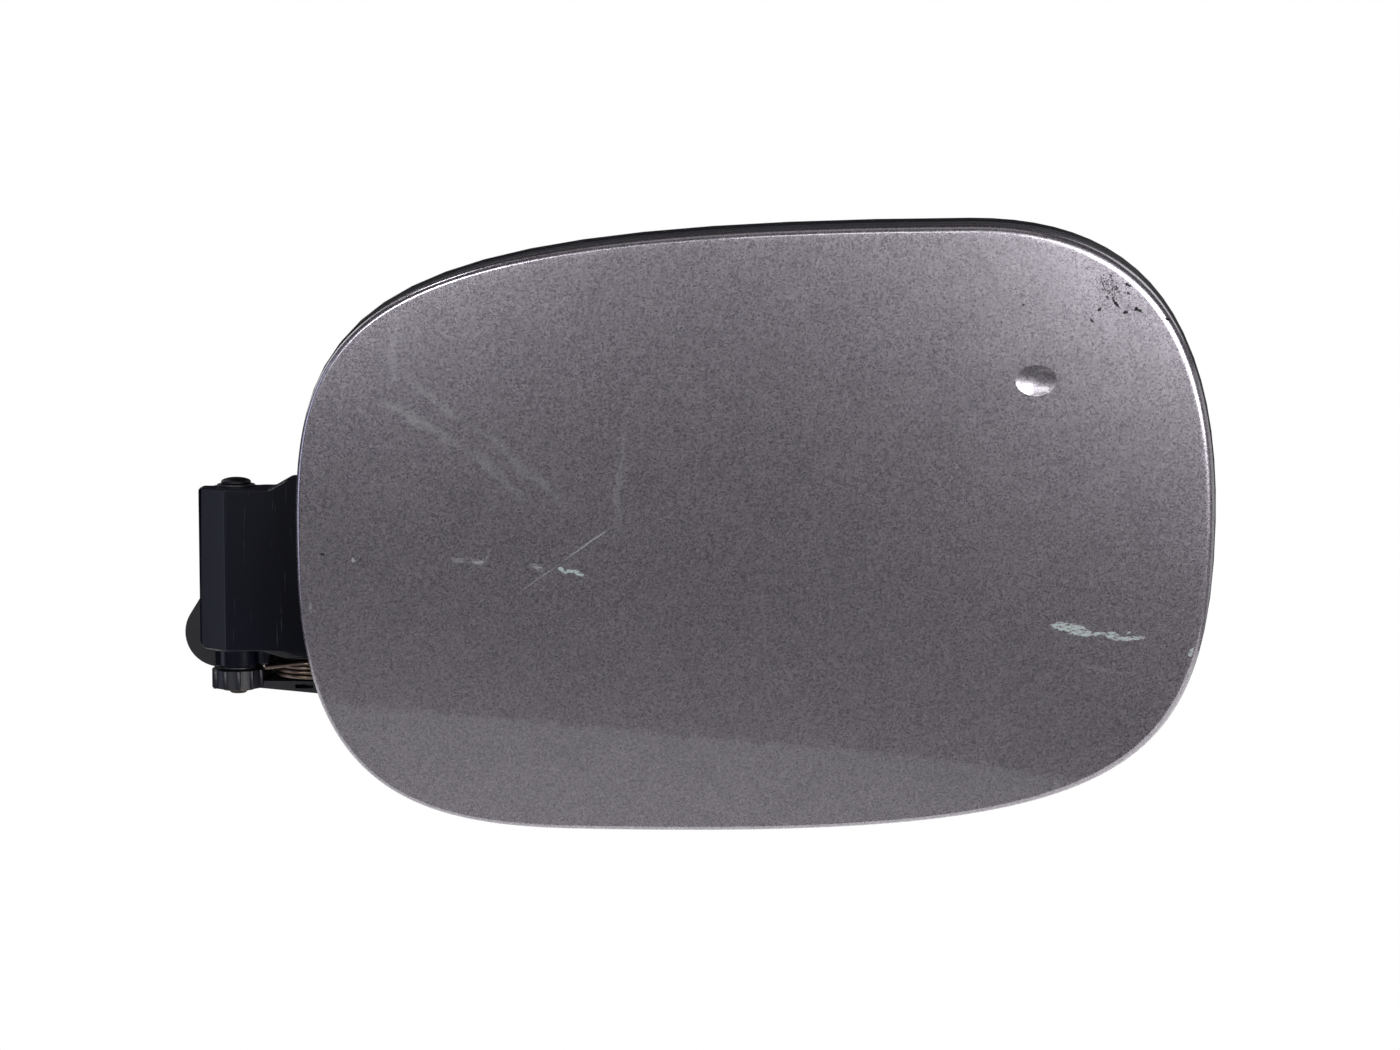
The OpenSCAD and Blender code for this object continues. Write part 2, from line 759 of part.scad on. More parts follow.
module hinge_base() {
    upper_root = [8.5, crown_z];
    color(moulded_black)
        difference() {
            union() {
                front_plate(0, plate_t) {
                    polygon(round_about([ears[0], upper_root, ears[1], ears[2]], ear_r));
                    polygon([
                        ears[0] + [-ear_r + 2, -2], [-collar_r + 1, -collar_low], [2, -collar_low],
                        [shelf_right, -shelf_low], ears[2] + [ear_r - 2.5, -3]
                    ]);
                }
                for (ear = ears)
                    front_plate(0, sleeve_len)
                        translate(ear)
                            circle(sleeve_r + 1.6);
                // Upper knuckle and its web
                pin_axis(knuckle_low)
                    cylinder(r = knuckle_r, h = knuckle_len);
                plan_plate(knuckle_low, knuckle_top)
                    polygon([[4.9, pin_depth + 1.2], [1.9, pin_depth - 4.6], [5.2, plate_t - 1], [15, plate_t - 1]]);
                // Lower collar, its web and its ribs
                pin_axis(-collar_low)
                    cylinder(r = collar_r, h = collar_len);
                plan_plate(-collar_low, -collar_top)
                    polygon([[-collar_r, pin_depth], [-collar_r, 1], [collar_r, 1], [collar_r, pin_depth]]);
                for (a = [-50:30:70])
                    pin_axis(-collar_low)
                        rotate(a)
                            translate([0, -collar_r, 0])
                                cylinder(r = 0.5, h = collar_len, $fn = 24);
                // Shelf under the spring with a sloping lower edge
                front_plate(1, pin_depth + 2)
                    polygon([
                        [2, -shelf_top], [shelf_right, -shelf_top], [shelf_right, -shelf_low],
                        [clip_r + 0.8, -collar_low], [2, -collar_low]
                    ]);
                // Boss for the spring's lower end
                translate([hook_place.x, -hook_place.y, -hook_bottom])
                    cylinder(r = hook_r, h = hook_bottom - shelf_top + 0.3);
            }
            for (ear = ears)
                front_plate(-1, sleeve_len + 1)
                    translate(ear)
                        circle(sleeve_r);
            pin_axis(-collar_low - 1)
                cylinder(r = pin_r, h = collar_low + knuckle_top + 2);
            // Pocket in the front of the shelf
            front_plate(pin_depth - 3, pin_depth + 3)
                polygon([[13, -shelf_top - 0.7], [17, -shelf_top - 0.7], [17, -collar_low - 0.1], [13, -collar_low - 0.1]]);
            // Hole for the spring's lower end
            translate([hook_place.x, -hook_place.y, -hook_bottom - 4])
                cylinder(r = wire_d / 2 + 0.15, h = 12, $fn = 24);
        }
}

// Pin: shaft with a chamfered end and a domed head
module hinge_pin() {
    top = arm_half + bush_flange_t + 0.1;
    end = collar_low + 1.4;
    color(steel_grey)
        pin_axis(0)
            rotate_extrude()
                polygon(concat(
                    [[0, -end], [pin_r - 0.4, -end], [pin_r, -end + 0.4], [pin_r, top], [head_r, top]],
                    [for (i = [0:6]) [head_r * cos(i * 15), top + 0.4 + (head_h - 0.4) * sin(i * 15)]]
                ));
}

// Push-on ring with four fingers round the pin's end
module pin_clip() {
    color(steel_grey)
        pin_axis(-collar_low - 0.6)
            difference() {
                cylinder(r = clip_r, h = 0.6);
                translate([0, 0, -1])
                    cylinder(r = pin_r, h = 3);
                for (a = [0:90:270])
                    rotate(a + 45)
                        translate([pin_r - 0.5, -0.3, -1])
                            cube([1.2, 0.6, 3]);
            }
}

// Over-centre torsion spring: an upright end in the arm's lug, a leg, the coil, a leg
// and an upright end in the base's boss
wire_r = wire_d / 2;
coil_mid_r = coil_r - wire_r;
coil_top_z = -(neck_bottom + slip + wire_r);
coil_axis = [coil_x, -coil_depth];
turn_steps = 16;
lug_top_z = -arm_half - 0.4;
lug_at = [lug_x, -lug_depth];
hook_at = [hook_place.x, -hook_place.y];
leg_top_z = -lug_bottom - wire_r - 0.45;
first_angle = 262;
last_angle = first_angle + 360 * coil_turns - 78;
function on_coil(angle) =
    let (share = (angle - first_angle) / (last_angle - first_angle), p = coil_axis + coil_mid_r * [cos(angle), sin(angle)])
    [p.x, p.y, coil_top_z - (coil_turns * coil_pitch) * share];
turn_count = ceil((last_angle - first_angle) / 360 * turn_steps);
coil_path = [for (i = [0:turn_count]) on_coil(lerp(first_angle, last_angle, i / turn_count))];
coil_last = coil_path[len(coil_path) - 1];
lug_way = unit([coil_path[0].x, coil_path[0].y] - lug_at);
hook_way = unit([coil_last.x, coil_last.y] - hook_at);
bend_r = 0.7;
spring_path = concat(
    [
        [lug_at.x, lug_at.y, lug_top_z], [lug_at.x, lug_at.y, leg_top_z + bend_r],
        [lug_at.x + lug_way.x * 0.3 * bend_r, lug_at.y + lug_way.y * 0.3 * bend_r, leg_top_z + 0.3 * bend_r],
        [lug_at.x + lug_way.x * bend_r, lug_at.y + lug_way.y * bend_r, leg_top_z]
    ],
    coil_path,
    [
        [hook_at.x + hook_way.x * bend_r, hook_at.y + hook_way.y * bend_r, coil_last.z],
        [hook_at.x + hook_way.x * 0.3 * bend_r, hook_at.y + hook_way.y * 0.3 * bend_r, coil_last.z - 0.3 * bend_r],
        [hook_at.x, hook_at.y, coil_last.z - bend_r], [hook_at.x, hook_at.y, -collar_low + 0.3]
    ]
);
wire_sides = 8;
function path_slope(path, i) =
    unit(path[min(i + 1, len(path) - 1)] - path[max(i - 1, 0)]);
function square_to(way, side) = unit(side - way * (way * side));
// A side direction carried along the path without twist
function path_sides(path) = [
    for (i = 0, side = square_to(path_slope(path, 0), [1, 0, 0]);
         i < len(path);
         i = i + 1, side = i < len(path) ? square_to(path_slope(path, i), side) : side)
        side
];
module torsion_spring() {
    sides = path_sides(spring_path);
    count = len(spring_path);
    points = [
        for (i = [0:count - 1])
            let (way = path_slope(spring_path, i), across = cross(way, sides[i]))
            for (k = [0:wire_sides - 1])
                let (a = 360 * k / wire_sides)
                spring_path[i] + wire_r * (cos(a) * sides[i] + sin(a) * across)
    ];
    ends = [
        [for (k = [0:wire_sides - 1]) k],
        [for (k = [wire_sides - 1:-1:0]) (count - 1) * wire_sides + k]
    ];
    color(steel_grey)
        polyhedron(points, concat(ends, ring_faces(count, wire_sides)));
}

module base_sleeve(index) {
    color(steel_grey)
        front_plate(0, sleeve_len + 0.2)
            translate(ears[index])
                difference() {
                    circle(sleeve_r);
                    circle(hole_r);
                }
}
module base_sleeve_1() { base_sleeve(0); }
module base_sleeve_2() { base_sleeve(1); }
module base_sleeve_3() { base_sleeve(2); }

outer_skin();
inner_panel();
hinge_arm();
upper_bush();
lower_bush();
arm_screw_1();
arm_screw_2();
arm_screw_3();
arm_screw_4();
striker();
striker_screw_1();
striker_screw_2();
cap_holder();
bump_stop_upper();
bump_stop_lower();
hinge_base();
hinge_pin();
pin_clip();
torsion_spring();
base_sleeve_1();
base_sleeve_2();
base_sleeve_3();
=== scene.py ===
import math

import bmesh
import bpy
from mathutils import Matrix, Vector


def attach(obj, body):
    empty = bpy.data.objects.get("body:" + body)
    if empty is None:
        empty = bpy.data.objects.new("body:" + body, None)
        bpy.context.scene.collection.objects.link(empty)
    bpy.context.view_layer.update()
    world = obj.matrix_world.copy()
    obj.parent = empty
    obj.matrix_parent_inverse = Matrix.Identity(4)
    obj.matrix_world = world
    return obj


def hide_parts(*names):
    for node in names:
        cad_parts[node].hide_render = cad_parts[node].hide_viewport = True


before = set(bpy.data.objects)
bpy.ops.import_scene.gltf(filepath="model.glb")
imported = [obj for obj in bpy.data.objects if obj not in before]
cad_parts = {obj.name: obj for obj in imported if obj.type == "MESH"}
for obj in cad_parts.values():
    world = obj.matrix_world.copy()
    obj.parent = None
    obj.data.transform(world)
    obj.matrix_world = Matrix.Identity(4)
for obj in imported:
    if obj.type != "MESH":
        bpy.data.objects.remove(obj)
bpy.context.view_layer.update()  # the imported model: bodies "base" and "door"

millimetre = 0.001

# where the painted panel sits, in metres: its own frame has x right, y up and z out of the face
panelPlacing = {
    "centre": (0.116, -0.043, 0.0125),
    "leanDegrees": 7,
    "crownRadius": 0.9,
}
panelTurn = math.radians(90 + panelPlacing["leanDegrees"])
panelMatrix = Matrix.Translation(panelPlacing["centre"]) @ Matrix.Rotation(panelTurn, 4, "X")


def hexToLinear(code):
    # sRGB hex, as read from a paint chart, turned to the linear values that Blender wants
    channels = [int(code[i:i + 2], 16) / 255 for i in (1, 3, 5)]
    linear = [c / 12.92 if c <= 0.04045 else ((c + 0.055) / 1.055) ** 2.4 for c in channels]
    return (*linear, 1)


def wayOut(azimuthDegrees, heightDegrees):
    # unit way from the part to a place round it: azimuth 0 is straight in front, height 90 straight above
    azimuth = math.radians(azimuthDegrees)
    rise = math.radians(heightDegrees)
    level = math.cos(rise)
    return Vector((math.sin(azimuth) * level, -math.cos(azimuth) * level, math.sin(rise)))


def deselectAll():
    if bpy.context.mode != "OBJECT":
        bpy.ops.object.mode_set(mode="OBJECT")
    bpy.ops.object.select_all(action="DESELECT")


def makeActive(piece):
    deselectAll()
    piece.select_set(True)
    bpy.context.view_layer.objects.active = piece


def applyModifier(piece, kind, **settings):
    makeActive(piece)
    modifier = piece.modifiers.new(kind, kind)
    for name, value in settings.items():
        setattr(modifier, name, value)
    bpy.ops.object.modifier_apply(modifier=modifier.name)


def startPiece(name):
    # names the primitive that was just added
    piece = bpy.context.object
    piece.name = name
    piece.data.name = name
    return piece


def placePiece(piece, matrix=Matrix.Identity(4)):
    # puts a piece modelled in its own frame where it belongs, with its place in its mesh
    makeActive(piece)
    piece.matrix_world = matrix @ piece.matrix_world
    bpy.ops.object.transform_apply(location=True, rotation=True, scale=True)


def smoothPiece(piece, degrees):
    # rounds the shading of edges and bends, and keeps it even on the large faces beside them
    makeActive(piece)
    bpy.ops.object.shade_smooth_by_angle(angle=math.radians(degrees))
    applyModifier(piece, "WEIGHTED_NORMAL", weight=80, keep_sharp=True)


def finishPiece(piece, body, material, node):
    # the piece stands for one CAD node and rides on that node's body
    piece.data.materials.clear()
    piece.data.materials.append(material)
    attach(piece, body)
    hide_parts(node)


def setNode(tree, node, settings):
    # a setting is a property of the node, a value for one of its sockets, or a socket to link to one
    for name, value in settings.items():
        if isinstance(value, bpy.types.NodeSocket):
            tree.links.new(value, node.inputs[name])
        elif isinstance(name, str) and hasattr(node, name):
            setattr(node, name, value)
        else:
            node.inputs[name].default_value = value
    return node


def addNode(tree, kind, settings):
    return setNode(tree, tree.nodes.new(kind), settings)


def layColours(tree, base, layers):
    # hex colours laid over a base one after another, each as strongly as its mask says
    colour = hexToLinear(base)
    for code, mask in layers:
        mixed = addNode(tree, "ShaderNodeMix", {
            "data_type": "RGBA", 0: mask, 6: colour, 7: hexToLinear(code),
        })
        colour = mixed.outputs[2]
    return colour


def newMaterial(name, settings):
    # a Principled surface and the object's own coordinates to hang a finish on
    material = bpy.data.materials.new(name)
    material.use_nodes = True
    tree = material.node_tree
    shader = setNode(tree, tree.nodes["Principled BSDF"], settings)
    coordinates = addNode(tree, "ShaderNodeTexCoord", {}).outputs["Object"]
    return material, tree, shader, coordinates


print("camera")
cameraValues = {
    "target": (0.104, -0.038, 0.0125),
    "distance": 0.8,
    "azimuthDegrees": 3,
    "heightDegrees": 6,
    "focalPixels": 3753.8,  # focal length in pixels of the 1400 pixel wide frame
    "frameWidth": 1400,
    "sensorWidth": 36,
    "nearestSeen": 0.01,
}
partMiddle = Vector(cameraValues["target"])
outward = wayOut(cameraValues["azimuthDegrees"], cameraValues["heightDegrees"])
bpy.ops.object.camera_add(location=partMiddle + cameraValues["distance"] * outward)
camera = bpy.context.object
camera.rotation_euler = (-outward).to_track_quat("-Z", "Y").to_euler()
camera.data.sensor_width = cameraValues["sensorWidth"]
camera.data.sensor_fit = "HORIZONTAL"
camera.data.lens = cameraValues["focalPixels"] / cameraValues["frameWidth"] * cameraValues["sensorWidth"]
camera.data.clip_start = cameraValues["nearestSeen"]
bpy.context.scene.camera = camera

print("studio")
studioValues = {
    "floorHeight": -0.32,
    "floorMiddle": (0.1, 0.2),
    "floorSize": (1.5, 1.0),
    "floorCorner": 0.06,
    "floorThickness": 0.012,
    "floorEdge": 0.002,
    "floorColour": "#f1f1f0",
    "fibreColour": "#e9e9e8",
    "fibreMillimetres": 1.111,
    "backdropColour": "#ffffff",
    "roomColour": "#7a6b7a",  # what the gloss sees where no soft box stands
    "roomStrength": 0.08,
    "boxDistance": 1.5,
}


def buildFloor():
    # a pale board with rounded corners and a broken edge
    values = studioValues
    deselectAll()
    bpy.ops.mesh.primitive_plane_add(size=1, location=(*values["floorMiddle"], values["floorHeight"]))
    floor = startPiece("studioFloor")
    floor.scale = (*values["floorSize"], 1)
    bpy.ops.object.transform_apply(location=True, rotation=True, scale=True)
    bpy.ops.object.mode_set(mode="EDIT")
    bpy.ops.mesh.select_all(action="SELECT")
    bpy.ops.mesh.bevel(offset=values["floorCorner"], segments=8, affect="VERTICES")
    bpy.ops.mesh.select_all(action="SELECT")
    bpy.ops.mesh.extrude_region_move(
        TRANSFORM_OT_translate={"value": (0, 0, -values["floorThickness"])}
    )
    bpy.ops.mesh.select_all(action="SELECT")
    bpy.ops.mesh.normals_make_consistent(inside=False)
    bpy.ops.object.mode_set(mode="OBJECT")
    applyModifier(floor, "BEVEL", width=values["floorEdge"], segments=2, limit_method="ANGLE")
    smoothPiece(floor, degrees=32)
    # matt card: hardly any shine, and fibres that are barely darker than the card
    material, tree, shader, coordinates = newMaterial("matt pale studio board", {"Roughness": 0.85})
    fibre = addNode(tree, "ShaderNodeTexNoise", {
        "Scale": 1 / (values["fibreMillimetres"] * millimetre), "Detail": 3, "Vector": coordinates,
    })
    colour = layColours(tree, values["floorColour"], [(values["fibreColour"], fibre.outputs["Fac"])])
    setNode(tree, shader, {"Base Color": colour})
    floor.data.materials.append(material)


def buildRoom():
    # the camera sees a plain white backdrop, the part's gloss a dim room
    world = bpy.data.worlds.new("soft room")
    world.use_nodes = True
    tree = world.node_tree
    room = setNode(tree, tree.nodes["Background"], {
        "Color": hexToLinear(studioValues["roomColour"]), "Strength": studioValues["roomStrength"],
    })
    backdrop = addNode(tree, "ShaderNodeBackground", {"Color": hexToLinear(studioValues["backdropColour"])})
    rays = addNode(tree, "ShaderNodeLightPath", {})
    either = addNode(tree, "ShaderNodeMixShader", {
        0: rays.outputs["Is Camera Ray"], 1: room.outputs["Background"], 2: backdrop.outputs["Background"],
    })
    setNode(tree, tree.nodes["World Output"], {"Surface": either.outputs["Shader"]})
    bpy.context.scene.world = world


# soft boxes round the part: azimuth from the front and height in degrees, size in metres, power in watts
softBoxes = {
    "rightBox": {"azimuth": 28, "height": 6, "size": (0.65, 0.55), "power": 9.6},
    "innerLeftBox": {"azimuth": -25, "height": 9, "size": (0.3, 0.4), "power": 7.6},
    "leftBox": {"azimuth": -38, "height": 5, "size": (0.35, 0.5), "power": 0.5, "colour": "#f0f4ff"},
    "farLeftBox": {"azimuth": -76, "height": 0, "size": (0.5, 0.9), "power": 2.6, "colour": "#dfe4ff"},
    "frontBox": {"azimuth": 3, "height": 8, "size": (0.35, 0.3), "power": 1.3},
    "windowBox": {"azimuth": 46, "height": 4, "size": (0.6, 0.7), "power": 10.5},
    "sideBox": {"azimuth": 112, "height": -4, "size": (1.3, 0.7), "power": 1.4},
    "highBox": {"azimuth": 30, "height": 30, "size": (0.9, 0.25), "power": 0.8},
    "edgeLamp": {"azimuth": -112, "height": 55, "size": (0.25, 0.25), "power": 2.2},
    "topBox": {"azimuth": 10, "height": 80, "distance": 1.3, "size": (0.9, 0.9), "power": 1.0},
    "backRightBox": {"azimuth": 135, "height": 30, "size": (1.1, 0.8), "power": 3},
    "backLeftBox": {"azimuth": -130, "height": 20, "size": (1.0, 0.8), "power": 3},
    # fills the back and the board without a highlight of its own
    "backFill": {"azimuth": 175, "height": 28, "size": (1.2, 0.8), "power": 26, "highlight": False},
}
# low oval light whose upper edge the lacquer mirrors as the line across the lower part of the face
lowLight = {"middle": (-0.25, -0.8, -0.54), "size": (1.25, 0.18), "power": 0.23}


def addAreaLight(name, shape, matrix, values):
    deselectAll()
    bpy.ops.object.light_add(type="AREA")
    light = bpy.context.object
    light.name = name
    light.data.shape = shape
    light.data.size, light.data.size_y = values["size"]
    light.data.energy = values["power"]
    light.data.color = hexToLinear(values.get("colour", "#ffffff"))[:3]
    light.visible_glossy = values.get("highlight", True)
    light.matrix_world = matrix


def buildLights():
    for name, values in softBoxes.items():
        # each box faces the part and keeps its long side level
        way = wayOut(values["azimuth"], values["height"])
        azimuth = math.radians(values["azimuth"])
        side = Vector((math.cos(azimuth), math.sin(azimuth), 0))
        turn = Matrix((side, way.cross(side), way)).transposed()
        place = partMiddle + way * values.get("distance", studioValues["boxDistance"])
        addAreaLight(name, "RECTANGLE", Matrix.Translation(place) @ turn.to_4x4(), values)
    upright = Matrix.Rotation(math.radians(90), 4, "X")
    addAreaLight("lowLight", "ELLIPSE", Matrix.Translation(lowLight["middle"]) @ upright, lowLight)


buildFloor()
buildRoom()
buildLights()
bpy.context.scene.view_settings.view_transform = "Standard"

print("materials")

# marks on the face, in millimetres from the panel's centre: x, y, half length, half width, turn, strength
wearValues = {
    "chalk": [
        (66.6, -22.0, 4.4, 1.15, -9, 1.0),  # pale scuff at the right, thick then thin
        (69.7, -23.3, 3.8, 0.8, -8, 1.0),
        (73.2, -23.5, 2.9, 0.34, -6, 0.9),
        (76.1, -24.1, 1.9, 0.95, -18, 1.0),
        (79.7, -24.6, 3.6, 0.5, 2, 0.85),
        (79.2, -23.3, 0.7, 0.45, 10, 0.8),
        (-41.2, -9.8, 1.2, 0.5, -41, 1.3),  # short white mark left of the middle
        (-39.3, -9.9, 1.7, 0.42, 8, 1.3),
        (-37.6, -10.4, 1.2, 0.6, -28, 1.3),
        (-63.1, -8.0, 2.3, 0.55, -2, 0.2),  # faint rubs on both sides of the face
        (-60.0, -8.3, 2.6, 0.6, -4, 0.32),
        (-57.2, -6.8, 2.0, 0.3, 72, 0.09),
        (-46.6, -9.2, 1.9, 0.6, -22, 0.3),
        (72.8, -31.2, 4.2, 0.6, -14, 0.07),
        (78.8, -32.5, 4.4, 0.4, -4, 0.05),
        (92.7, -28.0, 1.2, 0.5, 70, 1.1),  # chip by the right edge
        (-96.2, -19.4, 0.25, 1.6, 5, 0.35),  # two small ones near the left edge
        (-86.5, -8.7, 0.4, 0.6, 0, 0.6),
    ],
    "scratch": [
        (-35.8, -3.9, 7.6, 0.24, 35.5, 1.0),  # one thin scratch, fainter in its lower half
        (-46.2, -11.6, 6.6, 0.2, 36.5, 0.6),
    ],
    "speck": [
        (75.3, 47.5, 1.3, 0.3, -49, 1.0),  # bare black nicks, most of them at the upper right
        (79.6, 46.3, 0.5, 0.42, -20, 1.0),
        (80.4, 45.9, 0.7, 0.2, -30, 0.8),
        (77.3, 45.6, 0.55, 0.3, 10, 1.0),
        (72.0, 46.3, 0.45, 0.35, 30, 1.0),
        (77.7, 51.4, 0.9, 0.22, -25, 0.8),
        (77.9, 49.6, 0.5, 0.25, -50, 0.7),
        (70.4, 43.9, 0.6, 0.2, -50, 0.8),
        (56.0, 47.3, 0.3, 0.3, 0, 1.0),
        (51.5, 43.8, 0.5, 0.15, -60, 0.5),
        (-93.1, -7.5, 0.5, 0.25, -20, 0.9),
        (86.2, 44.0, 0.6, 0.3, -30, 0.8),
    ],
    "speckCloud": [(73.9, 51.2, 3.4, 2.0, -62, 1.0)],  # dense fine specks, and thinner ones round them
    "speckSpray": [(76.0, 49.0, 7.4, 4.2, -43, 1.0)],
    "haze": [
        (-70.2, 21.5, 13.0, 1.5, -30, 0.55),  # wiped streaks at the left
        (-54.8, 10.8, 11.5, 1.6, -41, 0.5),
        (-68.1, 27.0, 10.5, 1.2, -34, 0.4),
        (-49.2, 12.4, 18.5, 1.5, -41, 0.4),
        (-28.8, 8.9, 18.0, 1.0, -95, 0.4),
        (-77.0, 36.0, 9.0, 1.4, -93, 0.3),
    ],
}
# how each kind of mark is broken up, in millimetres: ragged is the size of its edge's teeth and how far they
# reach, cut is the grain that splits it, that grain's lower and upper limit, and its stretch
markEdges = {
    "haze": {"ragged": (8.333, 5), "softness": 0.7, "cut": (2.857, 0.2, 0.75)},
    "scratch": {"ragged": (4, 0.5), "softness": 0.5},
    "chalk": {"ragged": (0.9091, 0.9), "softness": 0.3, "cut": (0.5882, 0.41, 0.56, (0.45, 1.5, 1))},
    "speck": {"ragged": (0.4167, 0.9), "softness": 0.25},
    "speckCloud": {"ragged": (2, 2), "softness": 0.3, "cut": (0.3448, 0.52, 0.57)},
    "speckSpray": {"ragged": (2, 2), "softness": 0.3, "cut": (0.3448, 0.6, 0.65)},
}
markDepth = 60  # half depth of a mark, so that it reaches the crowned face from the panel's flat plane


def markMask(tree, place, marks, softness):
    # the strongest of several elliptical marks at each point, with tapering ends
    total = 0.0
    for x, y, halfLength, halfWidth, turn, strength in marks:
        around = addNode(tree, "ShaderNodeMapping", {
            "vector_type": "TEXTURE",
            "Location": (x, y, 0),
            "Rotation": (0, 0, math.radians(turn)),
            "Scale": (halfLength, halfWidth, markDepth),
            "Vector": place,
        })
        fall = addNode(tree, "ShaderNodeTexGradient", {
            "gradient_type": "SPHERICAL", "Vector": around.outputs["Vector"],
        })
        shade = addNode(tree, "ShaderNodeMapRange", {
            "interpolation_type": "SMOOTHSTEP", "From Max": softness, "To Max": strength,
            "Value": fall.outputs["Fac"],
        })
        stronger = addNode(tree, "ShaderNodeMath", {
            "operation": "MAXIMUM", 0: total, 1: shade.outputs["Result"],
        })
        total = stronger.outputs[0]
    return total


def raggedPlace(tree, place, size, reach):
    # the place nudged by noise, so that a mark's edge is broken as rubbed paint is
    noise = addNode(tree, "ShaderNodeTexNoise", {"Scale": 1 / size, "Detail": 4, "Vector": place})
    centred = addNode(tree, "ShaderNodeVectorMath", {
        "operation": "SUBTRACT", 0: noise.outputs["Color"], 1: (0.5, 0.5, 0.5),
    })
    nudge = addNode(tree, "ShaderNodeVectorMath", {
        "operation": "SCALE", 0: centred.outputs["Vector"], "Scale": reach,
    })
    moved = addNode(tree, "ShaderNodeVectorMath", {
        "operation": "ADD", 0: place, 1: nudge.outputs["Vector"],
    })
    return moved.outputs["Vector"]


def cutByNoise(tree, place, mask, size, low, high, stretch=(1, 1, 1)):
    # breaks a mask up into grains
    pulled = addNode(tree, "ShaderNodeMapping", {"Scale": stretch, "Vector": place})
    noise = addNode(tree, "ShaderNodeTexNoise", {
        "Scale": 1 / size, "Detail": 5, "Roughness": 0.62, "Vector": pulled.outputs["Vector"],
    })
    gate = addNode(tree, "ShaderNodeMapRange", {
        "From Min": low, "From Max": high, "Value": noise.outputs["Fac"],
    })
    kept = addNode(tree, "ShaderNodeMath", {
        "operation": "MULTIPLY", 0: mask, 1: gate.outputs["Result"],
    })
    return kept.outputs[0]


def wearMask(tree, place, kind):
    edges = markEdges[kind]
    mask = markMask(tree, raggedPlace(tree, place, *edges["ragged"]), wearValues[kind], edges["softness"])
    if "cut" in edges:
        mask = cutByNoise(tree, place, mask, *edges["cut"])
    return mask


paintValues = {
    "dark": "#75717a",
    "light": "#bfb9c1",
    "flakeMillimetres": 0.25,  # real flakes are near 0.03 mm: drawn as coarse as the picture shows them
    "clumpMillimetres": 0.36,
    "clumpShare": 0.3,
    "driftMillimetres": 9,
    "driftShare": 0.15,
    "metallic": 0.88,
    "roughness": (0.25, 0.31),  # of the darkest and of the lightest flakes
    "shine": 0.5,
    "peelMillimetres": 3.2,  # orange peel of a sprayed lacquer
    "peelStrength": 0.06,
    "peelDepthMillimetres": 0.12,
    "scratch": "#ececf0",
    "hazeShare": 0.8,
    "chalk": "#8f9d98",
    "primer": "#0d0d10",
    "primerFull": 0.3,  # strength of a nick from which it shows pure primer
    "bareRoughness": 0.75,
    "bareShine": 0.12,
}


